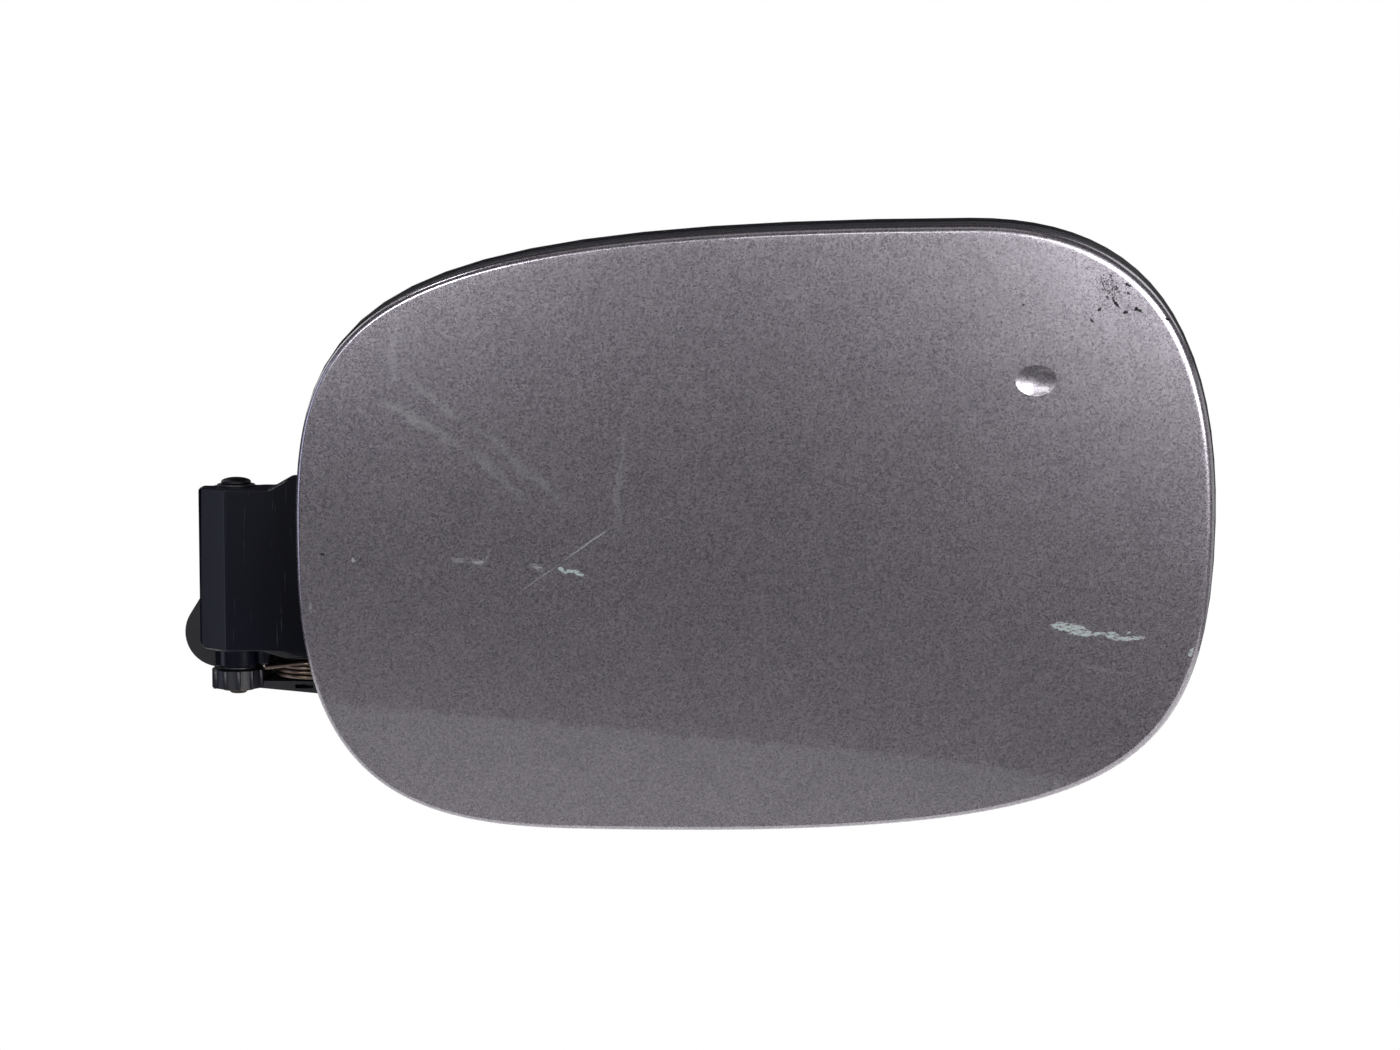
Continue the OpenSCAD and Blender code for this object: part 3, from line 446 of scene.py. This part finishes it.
def lacqueredMetallicPaint():
    # grey metallic base coat under clear lacquer: flake sparkle below, sharp reflections on top
    values = paintValues
    material, tree, shader, coordinates = newMaterial("clear coated grey metallic paint", {
        "Metallic": values["metallic"], "IOR": 1.5,
        "Coat Weight": 1.0, "Coat Roughness": 0.03, "Coat IOR": 1.7,
    })
    # millimetres in the panel's own frame, so that marks are placed as measured on the face
    place = addNode(tree, "ShaderNodeMapping", {
        "vector_type": "TEXTURE",
        "Location": panelPlacing["centre"],
        "Rotation": (panelTurn, 0, 0),
        "Scale": (millimetre, millimetre, millimetre),
        "Vector": coordinates,
    }).outputs["Vector"]
    # each flake has its own grey; clumps of flakes and a slow drift of tone lie over that
    shades = []
    for size in (values["flakeMillimetres"], values["clumpMillimetres"]):
        cells = addNode(tree, "ShaderNodeTexVoronoi", {"Scale": 1 / size, "Vector": place})
        split = addNode(tree, "ShaderNodeSeparateColor", {"Color": cells.outputs["Color"]})
        shades.append(split.outputs["Red"])
    drift = addNode(tree, "ShaderNodeTexNoise", {
        "Scale": 1 / values["driftMillimetres"], "Detail": 3, "Vector": place,
    })
    shimmer = addNode(tree, "ShaderNodeMix", {0: values["clumpShare"], 2: shades[0], 3: shades[1]})
    tone = addNode(tree, "ShaderNodeMix", {
        0: values["driftShare"], 2: shimmer.outputs[0], 3: drift.outputs["Fac"],
    }).outputs[0]

    # wear, from the faintest film to bare spots
    haze = wearMask(tree, place, "haze")
    scratch = wearMask(tree, place, "scratch")
    chalk = wearMask(tree, place, "chalk")
    bare = wearMask(tree, place, "speck")
    for kind in ("speckCloud", "speckSpray"):
        specks = wearMask(tree, place, kind)
        bare = addNode(tree, "ShaderNodeMath", {"operation": "MAXIMUM", 0: bare, 1: specks}).outputs[0]
    film = addNode(tree, "ShaderNodeMath", {"operation": "MULTIPLY", 0: haze, 1: values["hazeShare"]})
    stain = addNode(tree, "ShaderNodeMapRange", {"From Max": values["primerFull"], "Value": bare})
    colour = layColours(tree, values["dark"], [
        (values["light"], tone),
        (values["scratch"], film.outputs[0]),
        (values["scratch"], scratch),
        (values["chalk"], chalk),
        (values["primer"], stain.outputs["Result"]),
    ])

    # chalk and bare spots are neither metallic nor lacquered, and dull
    marks = addNode(tree, "ShaderNodeMath", {"operation": "MAXIMUM", 0: chalk, 1: bare}).outputs[0]
    metal = addNode(tree, "ShaderNodeMapRange", {"To Min": values["metallic"], "To Max": 0.0, "Value": marks})
    flakeRough = addNode(tree, "ShaderNodeMapRange", {
        "To Min": values["roughness"][0], "To Max": values["roughness"][1], "Value": tone,
    })
    rough = addNode(tree, "ShaderNodeMix", {
        0: marks, 2: flakeRough.outputs["Result"], 3: values["bareRoughness"],
    })
    lacquer = addNode(tree, "ShaderNodeMapRange", {"To Min": 1.0, "To Max": 0.0, "Value": marks})
    shine = addNode(tree, "ShaderNodeMapRange", {
        "To Min": values["shine"], "To Max": values["bareShine"], "Value": marks,
    })
    peel = addNode(tree, "ShaderNodeTexNoise", {
        "Scale": 1 / values["peelMillimetres"], "Detail": 2, "Vector": place,
    })
    peelBump = addNode(tree, "ShaderNodeBump", {
        "Strength": values["peelStrength"], "Distance": values["peelDepthMillimetres"] * millimetre,
        "Height": peel.outputs["Fac"],
    })
    setNode(tree, shader, {
        "Base Color": colour,
        "Metallic": metal.outputs["Result"],
        "Roughness": rough.outputs[0],
        "Coat Weight": lacquer.outputs["Result"],
        "Specular IOR Level": shine.outputs["Result"],
        "Coat Normal": peelBump.outputs["Normal"],
    })
    return material


# what every moulding shows: clouds of tone, rubs that run up and down it, and dust; sizes in millimetres
mouldingWear = {
    "cloudSize": 16.667,
    "rubSize": (0.5263, 0.5263, 20),
    "rubGate": (0.64, 0.74),
    "rubPatches": (8.333, 0.45, 0.62),
    "rubColour": "#6d6d74",
    "dustSize": 0.625,
    "dustGate": (0.66, 0.78),
    "dustColour": "#77756f",
    "addedRoughness": 0.25,
    "grainDepth": 0.05,
}


def mouldedPlastic(name, values):
    # a dark even colour, faint rubs that catch the light, and the tool's grain, drawn coarse enough to show
    wear = mouldingWear
    material, tree, shader, coordinates = newMaterial(name, {
        "IOR": values["ior"], "Specular IOR Level": values["shine"],
    })
    perMetre = 1 / millimetre
    place = addNode(tree, "ShaderNodeMapping", {
        "Scale": (perMetre, perMetre, perMetre), "Vector": coordinates,
    }).outputs["Vector"]
    grain = addNode(tree, "ShaderNodeTexNoise", {
        "Scale": 1 / values["grainMillimetres"], "Detail": 3, "Vector": place,
    })
    cloud = addNode(tree, "ShaderNodeTexNoise", {
        "Scale": 1 / wear["cloudSize"], "Detail": 4, "Vector": place,
    })
    streaks = addNode(tree, "ShaderNodeMapping", {
        "Scale": [1 / size for size in wear["rubSize"]], "Vector": place,
    })
    lines = addNode(tree, "ShaderNodeTexNoise", {
        "Scale": 1, "Detail": 3, "Roughness": 0.7, "Vector": streaks.outputs["Vector"],
    })
    rubbed = addNode(tree, "ShaderNodeMapRange", {
        "From Min": wear["rubGate"][0], "From Max": wear["rubGate"][1], "To Max": values["rub"],
        "Value": lines.outputs["Fac"],
    })
    rubs = cutByNoise(tree, place, rubbed.outputs["Result"], *wear["rubPatches"])
    dust = addNode(tree, "ShaderNodeTexNoise", {
        "Scale": 1 / wear["dustSize"], "Detail": 6, "Roughness": 0.75, "Vector": place,
    })
    dusty = addNode(tree, "ShaderNodeMapRange", {
        "From Min": wear["dustGate"][0], "From Max": wear["dustGate"][1], "To Max": values["dust"],
        "Value": dust.outputs["Fac"],
    }).outputs["Result"]
    colour = layColours(tree, values["dark"], [
        (values["light"], cloud.outputs["Fac"]), (wear["rubColour"], rubs), (wear["dustColour"], dusty),
    ])
    worn = addNode(tree, "ShaderNodeMath", {"operation": "MAXIMUM", 0: rubs, 1: dusty})
    rough = addNode(tree, "ShaderNodeMapRange", {
        "To Min": values["roughness"], "To Max": values["roughness"] + wear["addedRoughness"],
        "Value": worn.outputs[0],
    })
    bump = addNode(tree, "ShaderNodeBump", {
        "Strength": values["bump"], "Distance": wear["grainDepth"] * millimetre,
        "Height": grain.outputs["Fac"],
    })
    setNode(tree, shader, {
        "Base Color": colour, "Roughness": rough.outputs["Result"], "Normal": bump.outputs["Normal"],
    })
    return material


# what every metal shows: slow tarnish, and a grain that makes it rougher and smoother by turns
metalSurface = {
    "tarnishMillimetres": 3.846,
    "smoother": 0.08,
    "rougher": 0.14,
    "grainStrength": 0.15,
    "grainDepthMillimetres": 0.04,
}


def metalFinish(name, values):
    # plated or drawn steel; its real grain is finer, and drawn as coarse as a picture can show
    surface = metalSurface
    material, tree, shader, coordinates = newMaterial(name, {"Metallic": 1.0})
    grain = addNode(tree, "ShaderNodeTexNoise", {
        "Scale": 1 / (values["grainMillimetres"] * millimetre), "Detail": 4, "Vector": coordinates,
    })
    tarnish = addNode(tree, "ShaderNodeTexNoise", {
        "Scale": 1 / (surface["tarnishMillimetres"] * millimetre), "Detail": 5, "Vector": coordinates,
    })
    colour = layColours(tree, values["dark"], [(values["light"], tarnish.outputs["Fac"])])
    rough = addNode(tree, "ShaderNodeMapRange", {
        "To Min": values["roughness"] - surface["smoother"],
        "To Max": values["roughness"] + surface["rougher"],
        "Value": grain.outputs["Fac"],
    })
    bump = addNode(tree, "ShaderNodeBump", {
        "Strength": surface["grainStrength"], "Distance": surface["grainDepthMillimetres"] * millimetre,
        "Height": grain.outputs["Fac"],
    })
    setNode(tree, shader, {
        "Base Color": colour, "Roughness": rough.outputs["Result"], "Normal": bump.outputs["Normal"],
    })
    return material


finish = {
    "paint": lacqueredMetallicPaint(),
    # glass filled nylon, moulded against a polished tool: deep black with a wet highlight
    "arm": mouldedPlastic("glossy black moulded nylon", {
        "dark": "#0b0c13", "light": "#10121b", "ior": 1.5, "shine": 0.24, "roughness": 0.2,
        "grainMillimetres": 0.5, "bump": 0.05, "rub": 0.55, "dust": 0.1,
    }),
    # textured polypropylene: a little greyer than the arm and softer in its shine
    "carrier": mouldedPlastic("satin black moulded polypropylene", {
        "dark": "#17171b", "light": "#1f1f24", "ior": 1.49, "shine": 0.2, "roughness": 0.36,
        "grainMillimetres": 0.35, "bump": 0.25, "rub": 0.15, "dust": 0.12,
    }),
    # nylon from a plain tool: its highlights are wide and dull beside the arm's
    "base": mouldedPlastic("semi gloss black moulded nylon", {
        "dark": "#101117", "light": "#191a22", "ior": 1.5, "shine": 0.35, "roughness": 0.36,
        "grainMillimetres": 0.45, "bump": 0.16, "rub": 0.25, "dust": 0.18,
    }),
    # carbon filled rubber: matt, and it holds dust
    "rubber": mouldedPlastic("black rubber", {
        "dark": "#0d0d0e", "light": "#151515", "ior": 1.52, "shine": 0.4, "roughness": 0.68,
        "grainMillimetres": 0.3, "bump": 0.3, "rub": 0.0, "dust": 0.2,
    }),
    # acetal: waxy and black, like the arm it sits in
    "bush": mouldedPlastic("black acetal bush", {
        "dark": "#15151a", "light": "#1d1d22", "ior": 1.48, "shine": 0.4, "roughness": 0.42,
        "grainMillimetres": 0.4, "bump": 0.08, "rub": 0.0, "dust": 0.1,
    }),
    # zinc plated steel, passivated: cool grey with a cloudy sheen
    "plated": metalFinish("zinc plated steel", {
        "dark": "#8d9093", "light": "#b4b6b8", "roughness": 0.3, "grainMillimetres": 1.111,
    }),
    # screws passivated black: dark grey metal with a soft sheen
    "screw": metalFinish("black passivated screw steel", {
        "dark": "#2c2c2f", "light": "#4a4a4e", "roughness": 0.36, "grainMillimetres": 1.111,
    }),
    # the pin has gone dull and black
    "pin": metalFinish("dull blackened pin steel", {
        "dark": "#141417", "light": "#3a3a3e", "roughness": 0.42, "grainMillimetres": 0.7143,
    }),
    # drawn spring wire keeps its warm brown draw marks
    "spring": metalFinish("drawn spring steel wire", {
        "dark": "#3f3530", "light": "#8a7b70", "roughness": 0.34, "grainMillimetres": 0.4545,
    }),
}

print("outer skin")
skinValues = {
    # points of the outline in millimetres: place, handle before it and handle after it
    "right": ((97.3, -0.5), (97.3, -60.7), (97.3, 48.2)),
    "top": ((45, 63.8), (76.3, 63.8), (-95.3, 63.8)),
    "left": ((-99.1, -11), (-99.1, 39.5), (-99.1, -62.2)),
    "bottom": ((-40.5, -68.4), (-73.5, -68.4), (74.5, -68.4)),
    "pointsPerCurve": 60,
    "sheet": 0.8,
    "brokenEdge": 0.18,
    "edgeRadius": 2.0,
    "edgeSegments": 7,
    "narrowRoll": 0.6,  # share of the edge radius that the roll has, but for the right end
    "rollGrowth": (45, 90),  # from here to there in x the roll widens to the whole radius
    "flangeDepth": 4.25,
    "dimple": (58.9, 31.4),
    "dimpleSize": (8.6, 6.3),
    "dimpleDepth": 0.5,
    "faceRings": (0.93, 0.85, 0.77, 0.69, 0.61, 0.53, 0.45, 0.38, 0.32, 0.27),
    "blendRings": (0.3, 0.4, 0.5, 1.0),  # how far each ring goes on from the outline's shape to an oval
    "dimpleRings": (1.25, 1.12, 1.05, 1.0, 0.96, 0.91, 0.84, 0.76, 0.67, 0.57, 0.46, 0.35, 0.23, 0.11),
}


def dimpleFall(share):
    # the pressed hollow is a shallow round cap with a crisp rim
    if share >= 1:
        return 0
    return skinValues["dimpleDepth"] * (1 - share ** 2)


def crownDrop(x, y):
    # how far the crowned face has fallen away from its middle
    radius = panelPlacing["crownRadius"]
    return radius - math.sqrt(radius ** 2 - x * x - y * y)


def runRings(rings, share, centre):
    # extrudes the open edge inwards ring by ring; each ring is a share of the shape that had share 1
    for ring in rings:
        bpy.ops.mesh.extrude_edges_move()
        bpy.ops.transform.resize(value=(ring / share, ring / share, 1), center_override=centre)
        share = ring


def buildOuterSkin():
    values = skinValues
    deselectAll()
    bpy.ops.curve.primitive_bezier_circle_add(radius=0.05)  # its four points become the outline's
    skin = startPiece("outerSkin")
    skin.data.resolution_u = values["pointsPerCurve"]
    for point, key in zip(skin.data.splines[0].bezier_points, ("right", "top", "left", "bottom")):
        place, before, after = [Vector((x, y, 0)) * millimetre for x, y in values[key]]
        point.handle_left_type = "FREE"
        point.handle_right_type = "FREE"
        point.co = place
        point.handle_left = before
        point.handle_right = after
    makeActive(skin)
    bpy.ops.object.convert(target="MESH")
    skin = bpy.context.object

    # rings run in from the edge towards the dimple, then down into it
    centre = Vector((*values["dimple"], 0)) * millimetre
    halfLength, halfHeight = [size / 2 * millimetre for size in values["dimpleSize"]]
    firstRing = values["dimpleRings"][0]
    bpy.ops.object.mode_set(mode="EDIT")
    bpy.ops.mesh.select_mode(type="EDGE")
    bpy.ops.mesh.select_all(action="SELECT")
    runRings(values["faceRings"], 1, centre)
    for blend in values["blendRings"]:
        bpy.ops.mesh.extrude_edges_move()
        bm = bmesh.from_edit_mesh(skin.data)
        for vertex in bm.verts:
            if vertex.select:
                way = vertex.co - centre
                oval = way * (firstRing / math.hypot(way.x / halfLength, way.y / halfHeight))
                vertex.co = centre + way.lerp(oval, blend)
        bmesh.update_edit_mesh(skin.data)
    runRings(values["dimpleRings"][1:], firstRing, centre)
    bpy.ops.mesh.extrude_edges_move()
    bpy.ops.mesh.merge(type="CENTER")

    # the crown and the dimple are pressed into the flat sheet
    bm = bmesh.from_edit_mesh(skin.data)
    for vertex in bm.verts:
        away = vertex.co - centre
        share = math.hypot(away.x / halfLength, away.y / halfHeight)
        vertex.co.z = -crownDrop(vertex.co.x, vertex.co.y) - dimpleFall(share) * millimetre
    bmesh.update_edit_mesh(skin.data)

    # the edge turns back to a flange, with a roll that grows towards the right end
    bpy.ops.mesh.select_mode(type="EDGE")
    bpy.ops.mesh.select_all(action="DESELECT")
    bm = bmesh.from_edit_mesh(skin.data)
    weights = bm.edges.layers.float.new("bevel_weight_edge")
    narrow = values["narrowRoll"]
    growFrom, growTo = values["rollGrowth"]
    for edge in bm.edges:
        if edge.is_boundary:
            edge.select_set(True)
            x = (edge.verts[0].co.x + edge.verts[1].co.x) / 2 / millimetre
            grown = min(max((x - growFrom) / (growTo - growFrom), 0), 1)
            edge[weights] = narrow + (1 - narrow) * grown
    bm.select_flush_mode()
    bmesh.update_edit_mesh(skin.data)
    bpy.ops.mesh.extrude_edges_move(
        TRANSFORM_OT_translate={"value": (0, 0, -values["flangeDepth"] * millimetre)}
    )
    bpy.ops.mesh.select_all(action="SELECT")
    bpy.ops.mesh.normals_make_consistent(inside=False)
    bpy.ops.object.mode_set(mode="OBJECT")
    if skin.data.polygons[0].normal.z < 0:
        skin.data.flip_normals()  # an open sheet can come out facing backwards
    applyModifier(skin, "BEVEL", width=values["edgeRadius"] * millimetre, segments=values["edgeSegments"],
                  limit_method="WEIGHT", use_clamp_overlap=False)
    applyModifier(skin, "SOLIDIFY", thickness=values["sheet"] * millimetre, offset=-1)
    applyModifier(skin, "BEVEL", width=values["brokenEdge"] * millimetre, segments=2, limit_method="ANGLE",
                  angle_limit=math.radians(60), use_clamp_overlap=False)
    placePiece(skin, panelMatrix)
    smoothPiece(skin, degrees=40)
    finishPiece(skin, "door", finish["paint"], "outer_skin")


buildOuterSkin()

print("moulded and pressed pieces")
dressingValues = {
    "weldMillimetres": 0.004,
    "flatDegrees": 0.4,  # triangles that meet flatter than this become one face
    "edgeDegrees": 38,  # edges sharper than this are broken
    "smoothDegrees": 45,
    "freeBevels": ("hingeArm",),  # its shortest edges would hold all its bevels back
}
# CAD nodes whose shape stays: node, body, slot, finish and by how many millimetres its edges are broken
dressedNodes = {
    "carrierPanel": ("inner_panel", "door", "black_carrier", "carrier", 0.2),
    "hingeArm": ("hinge_arm", "door", "black_arm", "arm", 0.5),
    "hingeBase": ("hinge_base", "base", "black_base", "base", 0.35),
    "strikerLoop": ("striker", "door", "plated_steel", "plated", 0.25),
    "capHolder": ("cap_holder", "door", "black_carrier", "arm", 0.3),
    "bumpStopUpper": ("bump_stop_upper", "door", "black_rubber", "rubber", 0.2),
    "bumpStopLower": ("bump_stop_lower", "door", "black_rubber", "rubber", 0.2),
    "upperBush": ("upper_bush", "door", "bush_plastic", "bush", 0.1),
    "lowerBush": ("lower_bush", "door", "bush_plastic", "bush", 0.1),
    "hingePin": ("hinge_pin", "base", "plated_steel", "pin", 0.12),
    "pinClip": ("pin_clip", "base", "spring_steel", "spring", 0.06),
    "baseSleeveLeft": ("base_sleeve_1", "base", "plated_steel", "plated", 0.15),
    "baseSleeveUpper": ("base_sleeve_2", "base", "plated_steel", "plated", 0.15),
    "baseSleeveLower": ("base_sleeve_3", "base", "plated_steel", "plated", 0.15),
    "armScrewOne": ("arm_screw_1", "door", "screw_steel", "screw", 0.15),
    "armScrewTwo": ("arm_screw_2", "door", "screw_steel", "screw", 0.15),
    "armScrewThree": ("arm_screw_3", "door", "screw_steel", "screw", 0.15),
    "armScrewFour": ("arm_screw_4", "door", "screw_steel", "screw", 0.15),
    "strikerScrewOne": ("striker_screw_1", "door", "screw_steel", "screw", 0.15),
    "strikerScrewTwo": ("striker_screw_2", "door", "screw_steel", "screw", 0.15),
}


def dressNode(name, node, body, slotName, finishName, edge):
    # a copy of the node's mesh with welded faces, broken edges, even shading and its own finish
    values = dressingValues
    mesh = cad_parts[node].data.copy()
    mesh.name = name
    piece = bpy.data.objects.new(name, mesh)
    bpy.context.scene.collection.objects.link(piece)
    makeActive(piece)
    bpy.ops.object.mode_set(mode="EDIT")
    bpy.ops.mesh.select_all(action="SELECT")
    bpy.ops.mesh.remove_doubles(threshold=values["weldMillimetres"] * millimetre)
    bpy.ops.mesh.dissolve_limited(angle_limit=math.radians(values["flatDegrees"]))
    bpy.ops.object.mode_set(mode="OBJECT")
    applyModifier(piece, "BEVEL", width=edge * millimetre, segments=2, limit_method="ANGLE",
                  angle_limit=math.radians(values["edgeDegrees"]),
                  use_clamp_overlap=name not in values["freeBevels"])
    smoothPiece(piece, values["smoothDegrees"])
    finishPiece(piece, body, finish[finishName], node)
    print("  ", name, len(piece.data.polygons), "faces")


for pieceName, choices in dressedNodes.items():
    dressNode(pieceName, *choices)

print("torsion spring")
springValues = {
    # millimetres in the frame of the whole part, and degrees
    "wire": 0.9,
    "coilRadius": 8.6,
    "coilCentre": (16.8, -11.8),
    "coilTop": -20.55,
    "coilHeight": 3.8,
    "firstAngle": 262,
    "lastAngle": 1624,
    "stepsPerTurn": 48,
    "lug": (6.4, -16.6),
    "lugTop": -18.4,
    "lugDrop": 3.65,
    "hook": (10.6, -6.2),
    "hookEnd": -26.4,
    "bend": 0.7,
    "stepsPerBend": 5,
}


def bendPoints(corner, fromWay, toWay):
    # a quarter turn of wire between two straight stretches
    radius = springValues["bend"]
    steps = springValues["stepsPerBend"]
    start = corner - fromWay * radius
    points = []
    for step in range(steps + 1):
        angle = math.radians(90 * step / steps)
        ahead = fromWay * radius * math.sin(angle)
        aside = toWay * radius * (1 - math.cos(angle))
        points.append(start + ahead + aside)
    return points


def buildSpring():
    # one wire: from the arm's lug to the coil, down its turns and on to the base's hook boss
    values = springValues
    centreX, centreY = values["coilCentre"]
    middle = values["coilRadius"] - values["wire"] / 2
    sweep = values["lastAngle"] - values["firstAngle"]
    count = math.ceil(sweep / 360 * values["stepsPerTurn"])
    coil = []
    for step in range(count + 1):
        share = step / count
        angle = math.radians(values["firstAngle"] + sweep * share)
        coil.append(Vector((
            centreX + middle * math.cos(angle),
            centreY + middle * math.sin(angle),
            values["coilTop"] - values["coilHeight"] * share,
        )))
    lug = Vector((*values["lug"], values["lugTop"] - values["lugDrop"]))
    hook = Vector((*values["hook"], coil[-1].z))
    down = Vector((0, 0, -1))
    route = [Vector((*values["lug"], values["lugTop"]))]
    route += bendPoints(lug, down, (coil[0] - lug).normalized())
    route += coil
    route += bendPoints(hook, (hook - coil[-1]).normalized(), down)
    route.append(Vector((*values["hook"], values["hookEnd"])))

    deselectAll()
    bpy.ops.curve.primitive_bezier_curve_add()
    spring = startPiece("torsionSpring")
    spring.data.splines.clear()
    wire = spring.data.splines.new("POLY")
    wire.points.add(len(route) - 1)
    for point, place in zip(wire.points, route):
        point.co = (*(place * millimetre), 1)
    spring.data.bevel_depth = values["wire"] / 2 * millimetre
    spring.data.bevel_resolution = 4
    spring.data.use_fill_caps = True
    makeActive(spring)
    bpy.ops.object.convert(target="MESH")
    spring = bpy.context.object
    placePiece(spring)
    smoothPiece(spring, degrees=50)
    finishPiece(spring, "base", finish["spring"], "torsion_spring")


buildSpring()

print("size")
